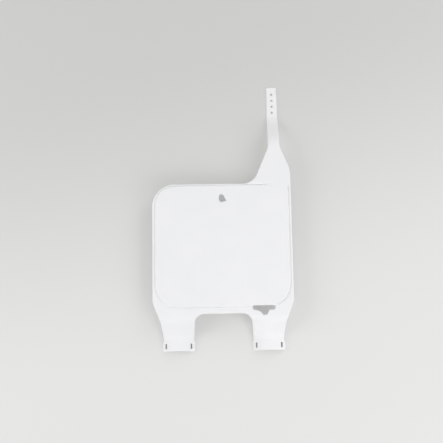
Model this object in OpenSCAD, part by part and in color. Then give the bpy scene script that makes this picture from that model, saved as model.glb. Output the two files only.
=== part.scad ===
// Front number board of a motocross bike, moulded in one piece.
// It lies on its back, on the floor at z = 0: X runs across the board, Y up towards its strap, Z out of its front.
// Two legs bend back to saddles that are strapped to the fork tubes, and the strap at the top goes round the handlebar.

/* [Panel] */
// Width of the panel
panel_w = 281; // [260:1:300]
// Distance from the level datum of the board up to the top edge, at the throat of the tab
panel_top = 133.5; // [125:0.5:142]
// Distance from the datum down to the edge between the legs
panel_low = 126; // [120:0.5:132]
// Rise of the top edge, from the throat of the tab to the free top corner
top_rise = 2.5; // [0:0.5:6]
// Radius of the free top corner
corner_r = 44; // [30:1:55]
// Radius of the crown across the front face
crown_r = 1100; // [900:10:1600]
// Height of the middle of the front face above the floor
front_h = 38; // [34:0.5:46]
// Thickness of the moulded wall
wall = 2; // [1.6:0.1:2.6]

/* [Rim] */
// Depth of the turned-back rim, from the front face
rim_depth = 10; // [7:0.5:13]
// Thickness of the rim
rim_wall = 2.2; // [1.8:0.1:3]
// Radius of the rounded front edge
edge_r = 2.4; // [1.2:0.1:3]

/* [Number field] */
// Height of the raised number field
field_raise = 0.7; // [0.4:0.1:1.2]
// Margin between the field and the sides of the panel
field_margin = 6.6; // [3.2:0.2:8]
// Margin between the field and the top edge, at the throat
field_margin_top = 2.8; // [2.6:0.2:8]
// Distance from the datum down to the bottom of the field
field_low = 112; // [106:0.5:114]
// Radius of the bottom corners of the field
field_r = 46; // [30:1:60]

/* [Legs] */
// Width of the gap between the legs where it starts
gap_w_top = 111.6; // [104:0.4:116]
// Radius of the top corners of the gap
gap_r = 19; // [10:1:24]
// Distance from the datum down to where the sides turn in to the legs
shoulder_y = 101.5; // [92:0.5:110]
// Radius at the shoulders
shoulder_r = 22; // [10:1:30]
// Distance from the datum down to the outer bend of the leg
knee_y = 143.5; // [136:0.5:150]
// Width over the legs at that bend
knee_w = 248.4; // [238:0.4:256]
// Radius of that bend
knee_r = 60; // [30:1:80]
// Distance from the datum down to where the legs start to bend back
leg_top = 128; // [127:0.5:134]
// Length over which they bend back, until they have become saddles
leg_bend = 52; // [44:0.5:56]

/* [Feet] */
// Distance between the middles of the feet, as the fork tubes stand
fork_pitch = 180; // [176:0.5:184]
// Width of a foot over its ears
foot_w = 64; // [58:0.5:70]
// How far the ears stand out past the leg, towards the gap and on the outer side
ear_in = 1.4; // [0.5:0.1:3]
ear_out = 2.5; // [0.5:0.1:4]
// Distance from the datum down to where the ears start
ear_y = 177.5; // [175:0.5:182]
// Distance from the datum down to the end of the feet
foot_y = 199; // [194:0.5:206]
// Radius of the corners of the ears
ear_r = 5; // [3:0.5:8]
// Bow of the foot's end towards the panel
foot_bow = 1.6; // [0.5:0.1:3]
// Radius of the saddle that sits on the fork tube
saddle_r = 57; // [50:1:70]
// Thickness of the foot
foot_wall = 3; // [2.4:0.1:3.6]
// Distance of the middle of a tie slot from the side of its foot
tie_edge = 7; // [6:0.5:9]
// Length of a tie slot, along the board
tie_len = 10.4; // [8:0.2:13]
// Width of a tie slot
tie_w = 3; // [2:0.1:4]

/* [Strap] */
// Distance of the middle of the strap from the middle of the board
strap_x = 108; // [104:0.5:112]
// Width of the strap at its root
strap_w = 23; // [20:0.5:26]
// Width of the strap at its tip
tip_w = 21; // [18:0.5:24]
// Distance from the datum up to the tip of the strap
tip_y = 346; // [336:1:358]
// Thickness of the strap
strap_t = 2.6; // [2.2:0.1:3.4]
// Distance from the datum up to where the tab has narrowed to the strap
root_y = 212; // [206:1:218]
// Distance from the datum up to where the strap lies flat
flat_y = 288; // [276:1:292]
// Diameter of the strap's holes
hole_d = 4.5; // [3:0.1:6]
// Distance from one strap hole to the next
hole_pitch = 13; // [10:0.5:14]
// Distance of the last hole from the tip
hole_end = 16; // [10:0.5:18]
// Number of holes in the strap
holes = 4; // [2:1:4]
// Radius of the corners of the tip
tip_r = 4; // [2:0.5:8]

/* [Tab under the strap] */
// Distance from the datum up to where the right side leans in to the strap
tab_y = 162.5; // [156:0.5:170]
// Radius where the right side leans in
tab_r = 70; // [40:5:90]
// Distance from the datum up to where the tab's right side meets the strap
tab_right_y = 214; // [206:1:220]
// Distance from the datum up to where the tab's left side meets the strap
tab_left_y = 210; // [202:1:216]
// Radius of both bends at the root of the strap
root_r = 28; // [15:1:36]
// Distance from the middle of the board to the throat of the tab, on the top edge
throat_x = 63.4; // [58:0.2:68]
// Radius of the throat
throat_r = 34; // [20:1:50]
// Distance from the datum up to where the rim starts to run out in the tab
fade_y = 150; // [140:1:160]

/* [Openings in the panel] */
// Distance of the top hole from the middle of the board
eye_x = 1; // [-4:0.5:4]
// Distance of the top hole above the datum
eye_y = 103.8; // [95:0.5:112]
// Height of the top hole
eye_h = 16.2; // [12:0.2:20]
// Width of the top hole
eye_w = 13.8; // [10:0.2:18]
// Distance of the hose slot from the middle of the board
hose_x = 80.2; // [78:0.2:84]
// Distance from the datum down to the middle of the hose slot
hose_y = 115.4; // [115:0.2:117]
// Length of the hose slot
hose_len = 45; // [36:1:48]
// Width of the hose slot
hose_w = 8.8; // [6:0.2:9.6]
// Depth of the notch in the lower side of the hose slot
notch_h = 10; // [6:0.5:10.5]

/* [Hidden] */

// How far a cutting tool runs past what it cuts
over = 5;
// Longest facets across the panel and across a leg, and along the bends of a leg and of the strap
panel_step = 12;
foot_step = 6;
leg_step = 3;
strap_step = 5;
// Half the width of a foot's round face, beyond which it runs level, as a share of the foot's width
saddle_share = 0.6;
// Angle of one step of a rounded outline corner, and of the rounded front edge
arc_step = 9;
edge_step = 30;
// Half the distance over which a slope is taken
probe = 0.5;
// Height of the slanting top of an ear, and the small radii beside it
ear_slant = 3.5;
ear_root_r = 1.5;
// Radius of the bow of the foot's end
bow_r = 300;
// Where the hollow back ends in the legs and in the tab
hollow_leg_y = 170;
hollow_tab_y = 192;
// Smallest radius that a corner of an inset outline keeps
least_r = 0.3;
// Corners of the top hole, as shares of its width and height, with radii as shares of its width
eye_shares = [[-0.46, -0.52, 0.36], [0.62, -0.31, 0.09], [0.16, 0.52, 0.36], [-0.44, 0.56, 0.3]];
// Corners of the notch, as shares of the slot's length and of the notch's depth, and the radius at its full depth
notch_shares = [[-0.36, 0], [-0.16, 0.3], [-0.03, 1], [0.14, 0.92], [0.235, 0]];
notch_r = 2.5;

half_w = panel_w / 2;
foot_x = fork_pitch / 2;
foot_in = foot_x - foot_w / 2;
foot_out = foot_x + foot_w / 2;
leg_foot = leg_top + leg_bend;
// Rise of the saddle above the floor, on which its ears stand
saddle_rise = drop(saddle_r, foot_w / 2);
// The board's box is centred on the frame in Y
centre_y = (tip_y - foot_y) / 2;

// A smooth step from 0 to 1, and a value part of the way from a to b
function ease(t) = t <= 0 ? 0 : t >= 1 ? 1 : t * t * (3 - 2 * t);
function mix(a, b, t) = a * (1 - t) + b * t;
// How far a round face of radius r has fallen at a distance d from its middle
function drop(r, d) = r - sqrt(r * r - d * d);

// How far a place has come from the panel to the saddles, to the flat end of the strap, and out of the rim
function to_foot(y) = ease((-leg_top - y) / (leg_foot - leg_top));
function to_strap(y) = ease((y - root_y) / (flat_y - root_y));
function out_of_rim(y) = ease((y - fade_y) / (root_y - fade_y));

// Height of the front face: the crown of the panel, easing into the saddles and into the strap
function from_foot(x) = min(abs(abs(x) - foot_x), foot_w * saddle_share);
function crown_z(x) = front_h - drop(crown_r, x);
function saddle_z(x, r) = saddle_rise + r - saddle_r - drop(r, from_foot(x));
function front_z(x, y) = y < 0
    ? mix(crown_z(x), saddle_z(x, saddle_r + foot_wall), to_foot(y))
    : mix(crown_z(x), strap_t, to_strap(y));
function slope(x, y) = (front_z(x, y + probe) - front_z(x, y - probe)) / (2 * probe);
// Upright thickness of a wall of thickness t, where the front face slopes
function upright(t, x, y) = t * norm([1, slope(x, y)]);
// Height of the underside of the rim, of the saddles and of the strap
function low_z(x, y) = y < 0
    ? mix(crown_z(x) - rim_depth, saddle_z(x, saddle_r), to_foot(y))
    : front_z(x, y) - upright(mix(rim_depth, strap_t, out_of_rim(y)), x, y);

// Even steps from a to b, no longer than step
function steps(a, b, step) = let (n = ceil((b - a) / step)) [for (i = [0:n]) mix(a, b, i / n)];
function joined(lists) = [for (i = [0:len(lists) - 1]) each [for (j = [(i == 0 ? 0 : 1):len(lists[i]) - 1]) lists[i][j]]];

function unit(v) = v / norm(v);
// The arc of radius r that rounds the corner at p, between the corners a and b
function corner_arc(a, p, b, r) =
    let (u = unit(a - p), v = unit(b - p), half = acos(u * v) / 2,
         reach = r / tan(half), middle = p + unit(u + v) * r / sin(half),
         start = p + u * reach - middle, turn = 180 - 2 * half,
         side = cross(u, v) < 0 ? 1 : -1, n = max(1, ceil(turn / arc_step)))
    [for (i = [0:n]) let (t = side * turn * i / n)
        middle + [start.x * cos(t) - start.y * sin(t), start.x * sin(t) + start.y * cos(t)]];
function at(c, i) = let (p = c[(i + len(c)) % len(c)]) [p.x, p.y];
// A closed outline from corners [x, y, radius]
function rounded(c) = [for (i = [0:len(c) - 1]) each
    c[i][2] == 0 ? [at(c, i)] : corner_arc(at(c, i - 1), at(c, i), at(c, i + 1), c[i][2])];
// The same corners a distance d further in, with the radii that keep the margin even
function inset(c, d) = [for (i = [0:len(c) - 1])
    let (u = unit(at(c, i) - at(c, i - 1)), v = unit(at(c, i + 1) - at(c, i)),
         m = [-u.y, u.x], n = [-v.y, v.x], p = at(c, i) + (m + n) * d / (1 + m * n))
    [p.x, p.y, max(cross(u, v) > 0 ? c[i][2] - d : c[i][2] + d, least_r)]];

// Corners of a leg, from the gap down its inner side and up its outer side
leg_corners = [
    [gap_w_top / 2, -panel_low, gap_r],
    [foot_in + ear_in, -ear_y, ear_root_r],
    [foot_in, -ear_y - ear_slant, ear_slant],
    [foot_in, -foot_y, ear_r],
    [foot_x, foot_bow - foot_y, bow_r],
    [foot_out, -foot_y, ear_r],
    [foot_out, -ear_y - ear_slant, ear_slant],
    [foot_out - ear_out, -ear_y, ear_root_r],
    [knee_w / 2, -knee_y, knee_r],
    [half_w, -shoulder_y, shoulder_r]];
board_corners = concat(
    [for (i = [len(leg_corners) - 1:-1:0]) let (c = leg_corners[i]) [-c.x, c.y, c[2]]],
    leg_corners,
    [[half_w, tab_y, tab_r],
     [strap_x + strap_w / 2, tab_right_y, root_r],
     [strap_x + tip_w / 2, tip_y, tip_r],
     [strap_x - tip_w / 2, tip_y, tip_r],
     [strap_x - strap_w / 2, tab_left_y, root_r],
     [throat_x, panel_top, throat_r],
     [-half_w, panel_top + top_rise, corner_r]]);
field_corners = let (x = half_w - field_margin, y = panel_top - field_margin_top) [
    [-x, -field_low, field_r], [x, -field_low, field_r],
    [x, y, field_margin], [-x, y, corner_r - field_margin]];

// Places of the facets across the board and along it
gap_flat = gap_w_top / 2 - gap_r;
leg_xs = joined([steps(gap_flat, foot_in, foot_step), steps(foot_in, foot_out, foot_step),
    steps(foot_out, half_w, foot_step)]);
left_leg_xs = [for (i = [len(leg_xs) - 1:-1:0]) -leg_xs[i]];
panel_xs = joined([left_leg_xs, steps(-gap_flat, gap_flat, panel_step), leg_xs]);
tab_xs = [for (x = leg_xs) if (x > throat_x - foot_step) x];
strap_xs = [for (x = leg_xs) if (abs(x - strap_x) < strap_w) x];
leg_ys = steps(-leg_foot, -leg_top, leg_step);
strap_ys = steps(root_y, flat_y, strap_step);

// A solid between two faces, top and low, that are given as heights over a grid of places
module between(xs, ys, top, low) {
    nx = len(xs);
    ny = len(ys);
    function id(face, j, i) = (face * ny + j) * nx + i;
    function quad(a, b, c, d) = [[a, b, c], [a, c, d]];
    polyhedron(
        [for (face = [top, low]) for (y = ys) for (x = xs) [x, y, face(x, y)]],
        [for (j = [0:ny - 2]) for (i = [0:nx - 2]) each concat(
            quad(id(0, j, i), id(0, j + 1, i), id(0, j + 1, i + 1), id(0, j, i + 1)),
            quad(id(1, j, i), id(1, j, i + 1), id(1, j + 1, i + 1), id(1, j + 1, i))),
         for (i = [0:nx - 2]) each concat(
            quad(id(0, 0, i), id(0, 0, i + 1), id(1, 0, i + 1), id(1, 0, i)),
            quad(id(0, ny - 1, i + 1), id(0, ny - 1, i), id(1, ny - 1, i), id(1, ny - 1, i + 1))),
         for (j = [0:ny - 2]) each concat(
            quad(id(0, j + 1, 0), id(0, j, 0), id(1, j, 0), id(1, j + 1, 0)),
            quad(id(0, j, nx - 1), id(0, j + 1, nx - 1), id(1, j + 1, nx - 1), id(1, j, nx - 1)))]);
}

// The faces of the board from the feet to the tip, between the heights top and low
module sheet(top, low) {
    for (xs = [left_leg_xs, leg_xs]) between(xs, concat([-foot_y - over], leg_ys), top, low);
    between(panel_xs, [-leg_top, fade_y], top, low);
    between(tab_xs, steps(fade_y, root_y, panel_step), top, low);
    between(strap_xs, concat(strap_ys, [tip_y + over]), top, low);
}

// The outline at a distance d further in, with points close enough together to follow the faces
function ring(d) = let (base = rounded(board_corners), inner = rounded(inset(board_corners, d)), n = len(base))
    [for (i = [0:n - 1]) let (
        a = base[i], b = base[(i + 1) % n], p = inner[i], q = inner[(i + 1) % n],
        bends = min(a.y, b.y) < -leg_top || max(a.y, b.y) > root_y,
        m = max(1, round(norm(b - a) / (bends ? strap_step : panel_step))))
        each [for (j = [0:m - 1]) mix(p, q, j / m)]];

// What the rounding takes off the front edge: a section of chords [inset, depth], swept round the outline
module edge_rounding() {
    chord = function (t) [edge_r * (1 - cos(t)), edge_r * (1 - sin(t))];
    section = [2 * chord(0) - chord(edge_step), for (t = [edge_step:edge_step:90 - edge_step]) chord(t),
        2 * chord(90) - chord(90 - edge_step), -[1, 1] * edge_r / 3];
    rings = [for (s = section) ring(s[0])];
    n = len(rings[0]);
    m = len(section);
    polyhedron(
        [for (k = [0:m - 1]) for (p = rings[k]) [p.x, p.y, front_z(p.x, p.y) - section[k][1]]],
        [for (k = [0:m - 1]) for (i = [0:n - 1]) let (
            a = k * n + i, b = k * n + (i + 1) % n, c = (k + 1) % m * n + (i + 1) % n, d = (k + 1) % m * n + i)
            each [[a, b, c], [a, c, d]]]);
}

// What stands inside an outline of rounded corners
module prism(corners, low, high) {
    translate([0, 0, low]) linear_extrude(high - low) polygon(rounded(corners));
}

// The board before it is hollowed: as deep as its rim, and as thick as its feet and strap
module blank() {
    intersection() {
        prism(board_corners, -over, front_h + over);
        sheet(function (x, y) front_z(x, y), function (x, y) low_z(x, y));
    }
}

// The hollow back inside the rim, which leaves the moulded wall
module hollow() {
    under = function (x, y) front_z(x, y) - upright(wall, x, y);
    floor_z = function (x, y) -over;
    intersection() {
        prism(inset(board_corners, rim_wall), -over, front_h);
        union() {
            for (xs = [left_leg_xs, leg_xs])
                between(xs, steps(-hollow_leg_y, -leg_top, leg_step), under, floor_z);
            between(panel_xs, [-leg_top, fade_y], under, floor_z);
            between(tab_xs, steps(fade_y, hollow_tab_y, panel_step), under, floor_z);
        }
    }
}

// The raised number field
module field() {
    intersection() {
        prism(field_corners, 0, front_h + over);
        between(panel_xs, [-leg_top, fade_y],
            function (x, y) front_z(x, y) + field_raise, function (x, y) front_z(x, y) - wall / 2);
    }
}

// A slot with round ends, long along Y
module slot(length, width) {
    square([width, length - width], center = true);
    for (side = [-1, 1]) translate([0, side * (length - width) / 2]) circle(d = width);
}

// The top hole: round, with one corner drawn out
module eye() {
    translate([eye_x, eye_y])
        polygon(rounded([for (c = eye_shares) [c.x * eye_w, c.y * eye_h, c[2] * eye_w]]));
}

// The hose slot, with a notch in its lower side
module hose_slot() {
    translate([hose_x, -hose_y]) {
        rotate(90) slot(hose_len, hose_w);
        polygon(rounded(concat(
            [for (c = notch_shares) [c.x * hose_len, -hose_w / 2 - c.y * notch_h, notch_r * c.y]],
            [for (i = [len(notch_shares) - 1, 0]) [notch_shares[i].x * hose_len, 0, 0]])));
    }
}

// Openings that go right through the board
module openings() {
    translate([0, 0, -over]) linear_extrude(front_h + 2 * over) {
        eye();
        hose_slot();
        for (foot = [-foot_x, foot_x]) for (side = [-1, 1])
            translate([foot + side * (foot_w / 2 - tie_edge), -(ear_y + foot_y) / 2]) slot(tie_len, tie_w);
    }
    for (i = [0:holes - 1]) translate([strap_x, tip_y - hole_end - i * hole_pitch, -over])
        cylinder(d = hole_d, h = front_h + over);
}

module number_board() {
    color("whitesmoke") translate([0, -centre_y, 0]) difference() {
        union() {
            difference() {
                blank();
                hollow();
                edge_rounding();
            }
            field();
        }
        openings();
    }
}

number_board();
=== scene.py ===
"""The front number board, as one fine mesh of its moulded shell, in the frame of its CAD model."""
import math

import bmesh
import bpy
import numpy as np
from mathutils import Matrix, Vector
from mathutils.geometry import delaunay_2d_cdt
from mathutils.kdtree import KDTree

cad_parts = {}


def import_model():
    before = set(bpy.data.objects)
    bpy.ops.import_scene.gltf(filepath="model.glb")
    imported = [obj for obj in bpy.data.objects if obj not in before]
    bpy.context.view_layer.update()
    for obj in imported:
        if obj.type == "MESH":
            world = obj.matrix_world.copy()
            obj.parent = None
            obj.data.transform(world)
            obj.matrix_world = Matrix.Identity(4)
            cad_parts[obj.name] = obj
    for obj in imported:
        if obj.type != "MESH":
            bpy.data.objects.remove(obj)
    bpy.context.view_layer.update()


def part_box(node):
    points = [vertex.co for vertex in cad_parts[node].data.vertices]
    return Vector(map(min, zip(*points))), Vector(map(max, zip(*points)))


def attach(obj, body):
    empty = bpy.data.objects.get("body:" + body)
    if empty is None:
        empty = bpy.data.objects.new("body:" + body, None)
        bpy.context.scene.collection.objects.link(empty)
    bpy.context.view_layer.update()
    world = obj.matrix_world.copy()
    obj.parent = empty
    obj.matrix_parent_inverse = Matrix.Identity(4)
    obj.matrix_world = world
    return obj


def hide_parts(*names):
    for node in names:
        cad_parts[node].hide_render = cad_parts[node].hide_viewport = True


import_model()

# Sizes are in millimetres, as in the CAD model, and become metres in the mesh.
MM = 0.001
NODE = "number_board"
box_high = Vector(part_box(NODE)[1]) / MM

# The level datum of the board lies this far above the ends of the feet
foot_y = 199
tip_y = 2 * box_high.y - foot_y
centre_y = (tip_y - foot_y) / 2

# Panel
half_w = box_high.x
panel_top = 133.5
panel_low = 126
top_rise = 2.5
corner_r = 44
crown_r = 1100
wall = 2

# Rim
rim_depth = 10
rim_wall = 2.2
edge_r = 2.4

# Number field
field_raise = 0.7
field_margin = 6.6
field_margin_top = 2.8
field_low = 112
field_r = 46
field_top = panel_top - field_margin_top
front_h = box_high.z - field_raise

# Legs
gap_w_top = 111.6
gap_r = 19
shoulder_y = 101.5
shoulder_r = 22
knee_y = 143.5
knee_w = 248.4
knee_r = 60
leg_top = 128
leg_bend = 52

# Feet
foot_x = 90
foot_w = 64
ear_in = 1.4
ear_out = 2.5
ear_y = 177.5
ear_r = 5
ear_slant = 3.5
ear_root_r = 1.5
foot_bow = 1.6
bow_r = 300
saddle_r = 57
foot_wall = 3
saddle_share = 0.6
tie_edge = 7
tie_len = 10.4
tie_w = 3
foot_in = foot_x - foot_w / 2
foot_out = foot_x + foot_w / 2

# Strap, and the tab under it
strap_x = 108
strap_w = 23
tip_w = 21
tip_r = 4
strap_t = 2.6
root_y = 212
flat_y = 288
hole_d = 4.5
hole_pitch = 13
hole_end = 16
holes = 4
tab_y = 162.5
tab_r = 70
tab_right_y = 214
tab_left_y = 210
root_r = 28
throat_x = 63.4
throat_r = 34
fade_y = 150

# Openings in the panel
eye_x = 1
eye_y = 103.8
eye_h = 16.2
eye_w = 13.8
eye_shares = [[-0.46, -0.52, 0.36], [0.62, -0.31, 0.09], [0.16, 0.52, 0.36], [-0.44, 0.56, 0.3]]
hose_x = 80.2
hose_y = 115.4
hose_len = 45
hose_w = 8.8
notch_h = 10
notch_shares = [[-0.36, 0, 0.3], [-0.16, 0.3, 0.3], [-0.03, 1, 1], [0.14, 0.92, 0.9], [0.235, 0, 0.3]]
notch_r = 2.5

# The hollow back fades out around these places in the legs and in the tab
hollow_leg_y = 170
hollow_tab_y = 192
hollow_fade = 12

# Fineness of the mesh
arc_step = math.radians(6)
edge_spacing = 3
opening_spacing = 1.5
grid_spacing = 4
grid_clearance_share = 0.45
least_r = 0.3
least_edge = 0.03
same_place = 1e-6
touch = 0.0001
edge_steps = 8
rim_steps = 3
front_lip_steps = 3
back_lip_steps = 2

# The soft edge of the number field: its slope, the groove at its foot, which is deeper beside the tab,
# and the place on the right where it fades into the tab
field_slope = 1.2
groove_depth = 1.1
groove_w = 1.6
tab_groove = 0.7
tab_groove_y = 100
tab_groove_len = 30
blend_x = 86
blend_w = 24
blend_y = 60
blend_len = 34
field_line_shares = [-1.75, -1.4, -1, -0.6, -0.25, 0, 0.25, 0.5]

# Small mouldings: the lips of the openings, the round foot of the rim and its inner wall
front_lip = 0.6
back_lip = 0.3
low_edge_r = 0.7
low_edge_share = 0.9
rim_inset_shares = [(-0.6, 0), (-0.2, 0.03), (0, 0.12), (0.15, 0.6), (0.35, 0.85), (0.8, 0.97), (1.5, 1)]

# The plastic: its tones, the roughness between its streaks, and the scale and detail of each noise
plastic_dark = (0.862, 0.865, 0.877, 1)
plastic_pale = (0.882, 0.882, 0.897, 1)
roughness_low = 0.34
roughness_high = 0.44
plastic_ior = 1.49
cloud_noise = (22, 3)
streak_noise = (60, 4)
grain_noise = (1400, 2)
grain_strength = 0.25
grain_height = 0.00005
noise_low = 0.3
noise_high = 0.7

# The backdrop, in metres: its tones near the camera and far from it, a painted fall-off of light, and how
# much of them glows
floor_reach = 20
floor_fade = (-0.25, 1, 0)
floor_near_at = -0.3
floor_far_at = 0.4
floor_near = (0.78, 0.78, 0.773, 1)
floor_far = (0.63, 0.63, 0.621, 1)
floor_glow = 0.42
floor_roughness = 0.8
floor_gloss = 0.1

# What the board covers closely glows less and has painted shade, a darker colour. The limits are shares of
# open sky.
contact_reach = 0.02
covered_at = 0.1
open_at = 0.5
painted_shade_tone = 0.12

# Away from the board the floor glows only, so that no lamp shows on it, and takes the tone of the horizon
glow_near_r = 0.7
glow_far_r = 1.8
horizon_near_r = 1
horizon_far_r = 5
horizon_tone = (0.7, 0.7, 0.692, 1)

# Light: its even part, and the lamps, each with its place in metres, its power, and whether it is mirrored.
# The low lamps aren't mirrored, because the plastic would dazzle.
even_light = 0.34
lamp_width = 1.4
lamps = {
    "left_light": ((-1.94, 0, 1.03), 24.5, False),
    "right_front_light": ((1.37, -1.37, 1.03), 19.5, False),
    "right_back_light": ((1.37, 1.37, 1.03), 17.5, False),
    "front_light": ((0, -1.41, 1.69), 7, True),
}


def ease(t):
    """A smooth step from 0 to 1."""
    t = np.clip(t, 0, 1)
    return t * t * (3 - 2 * t)


def mix(a, b, t):
    return a * (1 - t) + b * t


def drop(r, d):
    """How far a round face of radius r has fallen at a distance d from its middle."""
    return r - np.sqrt(r * r - d * d)


def to_foot(y):
    return ease((-leg_top - y) / leg_bend)


def to_strap(y):
    return ease((y - root_y) / (flat_y - root_y))


def out_of_rim(y):
    return ease((y - fade_y) / (root_y - fade_y))


def crown_z(x):
    return front_h - drop(crown_r, x)


def saddle_z(x, r):
    from_foot = np.minimum(np.abs(np.abs(x) - foot_x), foot_w * saddle_share)
    return drop(saddle_r, foot_w / 2) + r - saddle_r - drop(r, from_foot)


def front_z(x, y):
    """Height of the front face: the crown of the panel, easing into the saddles and into the strap."""
    legs = mix(crown_z(x), saddle_z(x, saddle_r + foot_wall), to_foot(y))
    strap = mix(crown_z(x), strap_t, to_strap(y))
    return np.where(y < 0, legs, strap)


def upright(t, x, y):
    """Upright thickness of a wall of thickness t, where the front face slopes."""
    probe = 0.5
    slope = (front_z(x, y + probe) - front_z(x, y - probe)) / (2 * probe)
    return t * np.hypot(1, slope)


def low_z(x, y):
    """Height of the underside of the rim, of the saddles and of the strap."""
    legs = mix(crown_z(x) - rim_depth, saddle_z(x, saddle_r), to_foot(y))
    strap = front_z(x, y) - upright(mix(rim_depth, strap_t, out_of_rim(y)), x, y)
    return np.where(y < 0, legs, strap)


def hollow_z(x, y):
    """Depth of the hollow back above the underside of the rim. It fades out in the feet and the tab."""
    fade = ease((y + hollow_leg_y) / hollow_fade + 0.5) * ease((hollow_tab_y - y) / hollow_fade + 0.5)
    return np.maximum(front_z(x, y) - upright(wall, x, y) - low_z(x, y), 0) * fade


def outside_field(x, y):
    """How far a place lies outside the number field. It is below zero inside the field."""
    middle = (field_top - field_low) / 2
    across = half_w - field_margin
    along = (field_top + field_low) / 2
    r = np.where(y < middle, field_r, np.where(x > 0, field_margin, corner_r - field_margin))
    px = np.abs(x) - across + r
    py = np.abs(y - middle) - along + r
    return np.hypot(np.maximum(px, 0), np.maximum(py, 0)) + np.minimum(np.maximum(px, py), 0) - r


def shoulder(outside):
    """The soft slope at the edge of what is raised, from 1 inside to 0 outside."""
    return ease(0.5 - outside / field_slope)


def tab_blend(x, y):
    """Where the right side of the tab rises level with the field, so that the field's top edge fades."""
    across = ease((x - blend_x) / blend_w) * shoulder(x - half_w + field_margin)
    return across * ease((y - blend_y) / blend_len) * ease(1 - (y - field_top) / blend_len)


def field_z(x, y):
    """Height of the raised number field, with a fine groove round its foot."""
    outside = outside_field(x, y)
    blend = tab_blend(x, y)
    depth = groove_depth + tab_groove * ease((y - tab_groove_y) / tab_groove_len)
    groove = depth * ease(1 - np.abs(outside - field_slope) / groove_w) * (1 - blend)
    return field_raise * np.maximum(shoulder(outside), blend) - groove


def unit(v):
    return v / np.hypot(*v)


def corner_arc(a, p, b, r):
    """The arc of radius r that rounds the corner at p, between the corners a and b."""
    u, v = unit(a - p), unit(b - p)
    half = math.acos(float(u @ v)) / 2
    middle = p + unit(u + v) * r / math.sin(half)
    start = p + u * r / math.tan(half) - middle
    turn = math.pi - 2 * half
    side = 1 if u[0] * v[1] - u[1] * v[0] < 0 else -1
    count = max(2, math.ceil(turn / arc_step))
    angles = side * turn * np.arange(count + 1) / count
    cos, sin = np.cos(angles), np.sin(angles)
    return middle + np.stack([start[0] * cos - start[1] * sin, start[0] * sin + start[1] * cos], axis=1)


def rounded(corners):
    """A closed outline from corners (x, y, radius)."""
    points = [np.array(c[:2], dtype=float) for c in corners]
    after = points[1:] + points[:1]
    arcs = [corner_arc(points[i - 1], points[i], after[i], corners[i][2]) for i in range(len(corners))]
    return np.concatenate(arcs)


def inset(corners, d):
    """The same corners a distance d further in, with the radii that keep the margin even."""
    moved = []
    count = len(corners)
    for i, (x, y, r) in enumerate(corners):
        p = np.array([x, y], dtype=float)
        u = unit(p - np.array(corners[i - 1][:2]))
        v = unit(np.array(corners[(i + 1) % count][:2]) - p)
        m, n = np.array([-u[1], u[0]]), np.array([-v[1], v[0]])
        q = p + (m + n) * d / (1 + float(m @ n))
        turns_left = u[0] * v[1] - u[1] * v[0] > 0
        moved.append((q[0], q[1], max(r - d if turns_left else r + d, least_r)))
    return moved


def ring(corners, d=0, spacing=edge_spacing):
    """The outline a distance d further in. Its points match those of every other distance, one by one."""
    base = rounded(corners)
    inner = rounded(inset(corners, d))
    points = []
    for i in range(len(base)):
        j = (i + 1) % len(base)
        length = np.hypot(*(base[j] - base[i]))
        if length < least_edge:
            continue
        parts = max(1, round(length / spacing))
        points.extend(mix(inner[i], inner[j], k / parts) for k in range(parts))
    return np.array(points)


def box_corners(x, y, width, height, r):
    """A rectangle with rounded corners, around the point x, y."""
    return [(x + sx * width / 2, y + sy * height / 2, r) for sx, sy in ((-1, -1), (1, -1), (1, 1), (-1, 1))]


def leg_corners():
    """Corners of a leg, from the gap down its inner side and up its outer side."""
    return [
        (gap_w_top / 2, -panel_low, gap_r),
        (foot_in + ear_in, -ear_y, ear_root_r),
        (foot_in, -ear_y - ear_slant, ear_slant),
        (foot_in, -foot_y, ear_r),
        (foot_x, foot_bow - foot_y, bow_r),
        (foot_out, -foot_y, ear_r),
        (foot_out, -ear_y - ear_slant, ear_slant),
        (foot_out - ear_out, -ear_y, ear_root_r),
        (knee_w / 2, -knee_y, knee_r),
        (half_w, -shoulder_y, shoulder_r),
    ]


def board_corners():
    legs = leg_corners()
    left = [(-x, y, r) for x, y, r in reversed(legs)]
    top = [
        (half_w, tab_y, tab_r),
        (strap_x + strap_w / 2, tab_right_y, root_r),
        (strap_x + tip_w / 2, tip_y, tip_r),
        (strap_x - tip_w / 2, tip_y, tip_r),
        (strap_x - strap_w / 2, tab_left_y, root_r),
        (throat_x, panel_top, throat_r),
        (-half_w, panel_top + top_rise, corner_r),
    ]
    return left + legs + top


def field_corners():
    x = half_w - field_margin
    return [(-x, -field_low, field_r), (x, -field_low, field_r), (x, field_top, field_margin),
            (-x, field_top, corner_r - field_margin)]


def eye_corners():
    """The top hole: round, with one corner drawn out."""
    return [(eye_x + x * eye_w, eye_y + y * eye_h, r * eye_w) for x, y, r in eye_shares]


def hose_corners():
    """The hose slot, with a notch in its lower side."""
    end, side = hose_len / 2, hose_w / 2
    notch = [(hose_x + x * hose_len, -hose_y - side - y * notch_h, r * notch_r) for x, y, r in notch_shares]
    return [(hose_x - end, -hose_y - side, side), *notch, (hose_x + end, -hose_y - side, side),
            (hose_x + end, -hose_y + side, side), (hose_x - end, -hose_y + side, side)]


def opening_corners():
    """Every opening that goes right through: the two in the panel, the tie slots and the strap holes."""
    tie_x = foot_w / 2 - tie_edge
    tie_y = -(ear_y + foot_y) / 2
    slots = [box_corners(foot + side * tie_x, tie_y, tie_w, tie_len, tie_w / 2)
             for foot in (-foot_x, foot_x) for side in (-1, 1)]
    row = [box_corners(strap_x, tip_y - hole_end - i * hole_pitch, hole_d, hole_d, hole_d / 2)
           for i in range(holes)]
    return [eye_corners(), hose_corners(), *slots, *row]


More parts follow.
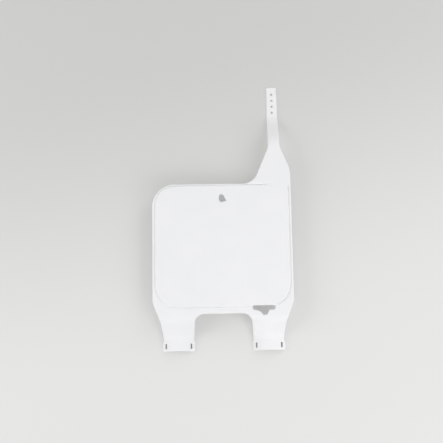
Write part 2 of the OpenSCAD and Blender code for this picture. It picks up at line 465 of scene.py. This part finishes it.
def inside(points, outline):
    """Which of the points lie inside a closed outline."""
    x, y = points[:, 0], points[:, 1]
    result = np.zeros(len(points), dtype=bool)
    for a, b in zip(outline, np.roll(outline, -1, axis=0)):
        if a[1] == b[1]:
            continue
        crosses = (a[1] > y) != (b[1] > y)
        result ^= crosses & (x < (b[0] - a[0]) * (y - a[1]) / (b[1] - a[1]) + a[0])
    return result


def in_area(points, outlines):
    """Which of the points lie inside the first outline and outside all others."""
    result = inside(points, outlines[0])
    for outline in outlines[1:]:
        result &= ~inside(points, outline)
    return result


def apart(points, others, distance):
    """Which of the points lie further than a distance from all others."""
    tree = KDTree(len(others))
    for i, p in enumerate(others):
        tree.insert((p[0], p[1], 0), i)
    tree.balance()
    return np.array([tree.find((p[0], p[1], 0))[2] > distance for p in points])


class Shell:
    """Points and faces of one mesh, in millimetres."""

    def __init__(self):
        self.points = []
        self.faces = []

    def add(self, xy, z):
        """Adds points and gives back their numbers."""
        first = len(self.points)
        self.points.extend(zip(xy[:, 0], xy[:, 1], np.broadcast_to(z, len(xy))))
        return np.arange(first, first + len(xy))

    def strip(self, a, b):
        """Joins two rings of matching points with a strip of faces."""
        self.faces.extend(zip(a, np.roll(a, -1), np.roll(b, -1), b))

    def sweep(self, rings):
        for a, b in zip(rings, rings[1:]):
            self.strip(a, b)

    def fill(self, edge, hole_edges, lines, height):
        """Fills the area inside one ring and outside others, with a grid of points and the given lines."""
        rings = [edge, *hole_edges]
        outlines = [np.array([self.points[i][:2] for i in numbers]) for numbers in rings]
        fixed = np.concatenate(outlines)
        numbers = np.concatenate(rings)
        edges = []
        first = 0
        for outline in outlines:
            count = len(outline)
            edges.extend((first + i, first + (i + 1) % count) for i in range(count))
            first += count

        added = []
        for line in lines:
            keep = in_area(line, outlines) & apart(line, fixed, least_r)
            place = np.cumsum(keep) - 1 + len(fixed) + len(added)
            both = keep & np.roll(keep, -1)
            edges.extend(zip(place[both], np.roll(place, -1)[both]))
            added.extend(line[keep])
        low, high = outlines[0].min(axis=0), outlines[0].max(axis=0)
        xs = np.arange(low[0], high[0], grid_spacing)
        ys = np.arange(low[1], high[1], grid_spacing)
        grid = np.array([(x + grid_spacing / 2 * (j % 2), y) for j, y in enumerate(ys) for x in xs])
        clearance = grid_spacing * grid_clearance_share
        added.extend(grid[in_area(grid, outlines) & apart(grid, [*fixed, *added], clearance)])
        added = np.array(added)
        new = self.add(added, height(*added.T))
        numbers = np.concatenate([numbers, new])
        every = np.concatenate([fixed, added])
        result = delaunay_2d_cdt([Vector(p) for p in every], edges, [], 0, same_place, True)
        places, triangles, sources = np.array(result[0]), np.array(result[2]), result[3]
        kept = triangles[in_area(places[triangles].mean(axis=1), outlines)]
        self.faces.extend(tuple(numbers[sources[i][0]] for i in triangle) for triangle in kept)

    def make(self, name):
        """Turns the shell into an object in metres, in the frame of the CAD model.

        Points that touch become one, and a sliver that lies along the outside of an outline goes.
        """
        mesh = bpy.data.meshes.new(name)
        places = (np.array(self.points) - np.array([0, centre_y, 0])) * MM
        mesh.from_pydata(places, [], [[int(i) for i in face] for face in self.faces])
        shape = bmesh.new()
        shape.from_mesh(mesh)
        bmesh.ops.remove_doubles(shape, verts=shape.verts, dist=touch * MM)
        slivers = [face for face in shape.faces if any(len(edge.link_faces) == 1 for edge in face.edges)]
        bmesh.ops.delete(shape, geom=slivers, context="FACES")
        bmesh.ops.recalc_face_normals(shape, faces=shape.faces)
        shape.to_mesh(mesh)
        shape.free()
        mesh.shade_smooth()
        piece = bpy.data.objects.new(name, mesh)
        bpy.context.scene.collection.objects.link(piece)
        return piece


def front_height(x, y):
    return front_z(x, y) + field_z(x, y)


def back_height(x, y):
    return low_z(x, y) + hollow_z(x, y)


def quarter(steps):
    """The angles of a quarter turn, from 0 to a right angle."""
    return np.linspace(0, math.pi / 2, steps + 1)


def board_edge(shell, corners):
    """The round front edge, the side, the foot of the rim and its inner wall. Gives back both end rings."""
    rings = []
    for t in quarter(edge_steps)[::-1]:
        p = ring(corners, edge_r * (1 - math.cos(t)))
        rings.append(shell.add(p, front_z(*p.T) - edge_r * (1 - math.sin(t))))
    outer = ring(corners)
    side_h = front_z(*outer.T) - low_z(*outer.T) - edge_r
    low_r = np.minimum(low_edge_r, side_h * low_edge_share)
    for t in quarter(rim_steps):
        p = mix(outer, ring(corners, low_edge_r), 1 - math.cos(t))
        rings.append(shell.add(p, low_z(*p.T) + low_r * (1 - math.sin(t))))
    for distance, share in rim_inset_shares:
        p = ring(corners, rim_wall + distance)
        rings.append(shell.add(p, low_z(*p.T) + share * hollow_z(*p.T)))
    shell.sweep(rings)
    return rings[0], rings[-1]


def opening_wall(shell, corners):
    """The wall of an opening with a small lip on either face. Gives back its outermost rings."""
    rings = []
    for t in quarter(front_lip_steps)[::-1]:
        p = ring(corners, -front_lip * (1 - math.cos(t)), opening_spacing)
        rings.append(shell.add(p, front_height(*p.T) - front_lip * (1 - math.sin(t))))
    for t in quarter(back_lip_steps):
        p = ring(corners, -back_lip * (1 - math.cos(t)), opening_spacing)
        rings.append(shell.add(p, back_height(*p.T) + back_lip * (1 - math.sin(t))))
    shell.sweep(rings)
    return rings[0], rings[-1]


def number_board():
    """The whole board, as one closed mesh that stands for the CAD node."""
    shell = Shell()
    front, back = board_edge(shell, board_corners())
    walls = [opening_wall(shell, corners) for corners in opening_corners()]
    lines = [ring(field_corners(), field_slope * share) for share in field_line_shares]
    shell.fill(front, [wall_rings[0] for wall_rings in walls], lines, front_height)
    shell.fill(back, [wall_rings[1] for wall_rings in walls], [], back_height)
    board = shell.make("board_shell")
    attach(board, "root")
    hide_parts(NODE)
    board.data.materials.append(white_plastic())


def new_material(name):
    material = bpy.data.materials.new(name)
    material.use_nodes = True
    nodes = material.node_tree.nodes
    return material, nodes, material.node_tree.links, nodes["Principled BSDF"]


def noise(nodes, links, coordinates, scale, detail):
    texture = nodes.new("ShaderNodeTexNoise")
    texture.inputs["Scale"].default_value = scale
    texture.inputs["Detail"].default_value = detail
    links.new(coordinates, texture.inputs["Vector"])
    return texture.outputs["Fac"]


def ramp(nodes, links, value, start, end, low=0, high=1, kind="LINEAR"):
    """Maps a value from the range between start and end to that between low and high."""
    mapping = nodes.new("ShaderNodeMapRange")
    mapping.interpolation_type = kind
    mapping.inputs["From Min"].default_value = start
    mapping.inputs["From Max"].default_value = end
    mapping.inputs["To Min"].default_value = low
    mapping.inputs["To Max"].default_value = high
    links.new(value, mapping.inputs["Value"])
    return mapping.outputs["Result"]


def spread(nodes, links, value, low, high):
    """Maps the middle of the values of a noise to the range from low to high."""
    return ramp(nodes, links, value, noise_low, noise_high, low, high)


def calculate(nodes, links, operation, first, second):
    """A sum, product or the like of two values."""
    node = nodes.new("ShaderNodeMath")
    node.operation = operation
    links.new(first, node.inputs[0])
    links.new(second, node.inputs[1])
    return node.outputs["Value"]


def seen(nodes, links):
    """1 for what the camera, a reflection or a clear part shows, and 0 for the light on things."""
    path = nodes.new("ShaderNodeLightPath")
    glossy = path.outputs["Is Glossy Ray"]
    clear = path.outputs["Is Transmission Ray"]
    mirrored = calculate(nodes, links, "MAXIMUM", glossy, clear)
    return calculate(nodes, links, "MAXIMUM", path.outputs["Is Camera Ray"], mirrored)


def put(links, value, socket):
    """Links the output of a node to a socket, or sets a constant on it."""
    if isinstance(value, bpy.types.NodeSocket):
        links.new(value, socket)
    else:
        socket.default_value = value


def colour(nodes, links, kind, factor, first, second):
    """Two colours, blended in one of Blender's ways."""
    node = nodes.new("ShaderNodeMix")
    node.data_type = "RGBA"
    node.blend_type = kind
    put(links, factor, node.inputs["Factor"])
    put(links, first, node.inputs["A"])
    put(links, second, node.inputs["B"])
    return node.outputs["Result"]


def white_plastic():
    """Satin white polypropylene: a fine moulded grain, and faint clouds in its colour and gloss."""
    material, nodes, links, shader = new_material("white_plastic")
    coordinates = nodes.new("ShaderNodeTexCoord").outputs["Object"]
    clouds = spread(nodes, links, noise(nodes, links, coordinates, *cloud_noise), 0, 1)
    tone = colour(nodes, links, "MIX", clouds, plastic_dark, plastic_pale)
    links.new(tone, shader.inputs["Base Color"])
    streaks = noise(nodes, links, coordinates, *streak_noise)
    links.new(spread(nodes, links, streaks, roughness_low, roughness_high), shader.inputs["Roughness"])
    bump = nodes.new("ShaderNodeBump")
    bump.inputs["Strength"].default_value = grain_strength
    bump.inputs["Distance"].default_value = grain_height
    links.new(noise(nodes, links, coordinates, *grain_noise), bump.inputs["Height"])
    links.new(bump.outputs["Normal"], shader.inputs["Normal"])
    shader.inputs["IOR"].default_value = plastic_ior
    return material


def open_share(nodes, links, covered=0):
    """1 where the floor lies open, and the covered value where something close by covers it."""
    opening = nodes.new("ShaderNodeAmbientOcclusion")
    opening.inputs["Distance"].default_value = contact_reach
    return ramp(nodes, links, opening.outputs["AO"], covered_at, open_at, covered)


def measure(nodes, links, operation, vector):
    """A length or the like of a vector."""
    node = nodes.new("ShaderNodeVectorMath")
    node.operation = operation
    links.new(vector, node.inputs[0])
    return node.outputs["Value"]


def blended(nodes, links, factor, first, second):
    """Two shaders, mixed by a factor."""
    node = nodes.new("ShaderNodeMixShader")
    links.new(factor, node.inputs["Fac"])
    links.new(first, node.inputs[1])
    links.new(second, node.inputs[2])
    return node.outputs["Shader"]


def pale_floor():
    """A backdrop that is paler near the camera, a painted fall-off of light, with painted shade where the
    board covers it closely. Part of its tone glows, so that its shadows stay light.
    """
    material, nodes, links, shader = new_material("pale_floor")
    spot = nodes.new("ShaderNodeTexCoord").outputs["Object"]
    along = measure(nodes, links, "DOT_PRODUCT", spot)
    along.node.inputs[1].default_value = floor_fade
    # painted fall-off of light: the floor's tone is paler near the camera and darker away from it
    gradient = ramp(nodes, links, along, floor_near_at, floor_far_at, kind="SMOOTHSTEP")
    tone = colour(nodes, links, "MIX", gradient, floor_near, floor_far)
    # painted shade: the floor's colour is darker where the board covers it closely
    shade = colour(nodes, links, "MULTIPLY", 1, tone, open_share(nodes, links, painted_shade_tone))
    links.new(shade, shader.inputs["Base Color"])
    shader.inputs["Roughness"].default_value = floor_roughness
    shader.inputs["Specular IOR Level"].default_value = floor_gloss
    radius = measure(nodes, links, "LENGTH", spot)
    to_horizon = ramp(nodes, links, radius, horizon_near_r, horizon_far_r, kind="SMOOTHSTEP")
    glow = nodes.new("ShaderNodeEmission")
    links.new(colour(nodes, links, "MIX", to_horizon, tone, horizon_tone), glow.inputs["Color"])
    share = ramp(nodes, links, radius, glow_near_r, glow_far_r, floor_glow, 1, "SMOOTHSTEP")
    open_seen = calculate(nodes, links, "MULTIPLY", seen(nodes, links), open_share(nodes, links))
    factor = calculate(nodes, links, "MULTIPLY", open_seen, share)
    surface = blended(nodes, links, factor, shader.outputs["BSDF"], glow.outputs["Emission"])
    links.new(surface, nodes["Material Output"].inputs["Surface"])
    return material


def floor():
    mesh = bpy.data.meshes.new("floor")
    side = 2 * floor_reach
    corners = [(x, y, 0) for x, y, r in box_corners(0, 0, side, side, 0)]
    mesh.from_pydata(corners, [], [(0, 1, 2, 3)])
    piece = bpy.data.objects.new("floor", mesh)
    bpy.context.scene.collection.objects.link(piece)
    mesh.materials.append(pale_floor())


def soft_light(name, place, power, mirrored):
    """A round lamp that faces the middle of the scene."""
    data = bpy.data.lights.new(name, "AREA")
    data.shape = "DISK"
    data.size = lamp_width
    data.energy = power
    lamp = bpy.data.objects.new(name, data)
    lamp.location = place
    lamp.visible_glossy = mirrored
    lamp.rotation_euler = (-Vector(place)).to_track_quat("-Z", "Y").to_euler()
    bpy.context.scene.collection.objects.link(lamp)


def world():
    """Even light from all round. The camera and reflections see the tone of the horizon in its place."""
    studio = bpy.data.worlds.new("studio")
    studio.use_nodes = True
    nodes = studio.node_tree.nodes
    links = studio.node_tree.links
    light = nodes["Background"]
    light.inputs["Color"].default_value = (1, 1, 1, 1)
    light.inputs["Strength"].default_value = even_light
    horizon = nodes.new("ShaderNodeBackground")
    horizon.inputs["Color"].default_value = horizon_tone
    surface = blended(nodes, links, seen(nodes, links), light.outputs[0], horizon.outputs[0])
    links.new(surface, nodes["World Output"].inputs["Surface"])
    bpy.context.scene.world = studio


def camera():
    """Looks almost straight down on the board, from the side of its feet."""
    tilt = math.radians(9)
    turn = math.radians(1)
    distance = 1.6
    mm_per_pixel = 2
    image_pixels = 443
    target = Vector((-0.0008, -0.0165, 0.038))
    data = bpy.data.cameras.new("camera")
    data.angle = 2 * math.atan(image_pixels * mm_per_pixel * MM / 2 / distance)
    view = bpy.data.objects.new("camera", data)
    view.location = target + distance * Vector((0, -math.sin(tilt), math.cos(tilt)))
    view.rotation_euler = (tilt, 0, 0)
    view.rotation_euler.rotate_axis("Z", -turn)
    bpy.context.scene.collection.objects.link(view)
    bpy.context.scene.camera = view
    bpy.context.scene.view_settings.view_transform = "Standard"


camera()
number_board()
floor()
world()
for lamp_name, (place, power, mirrored) in lamps.items():
    soft_light(lamp_name, place, power, mirrored)
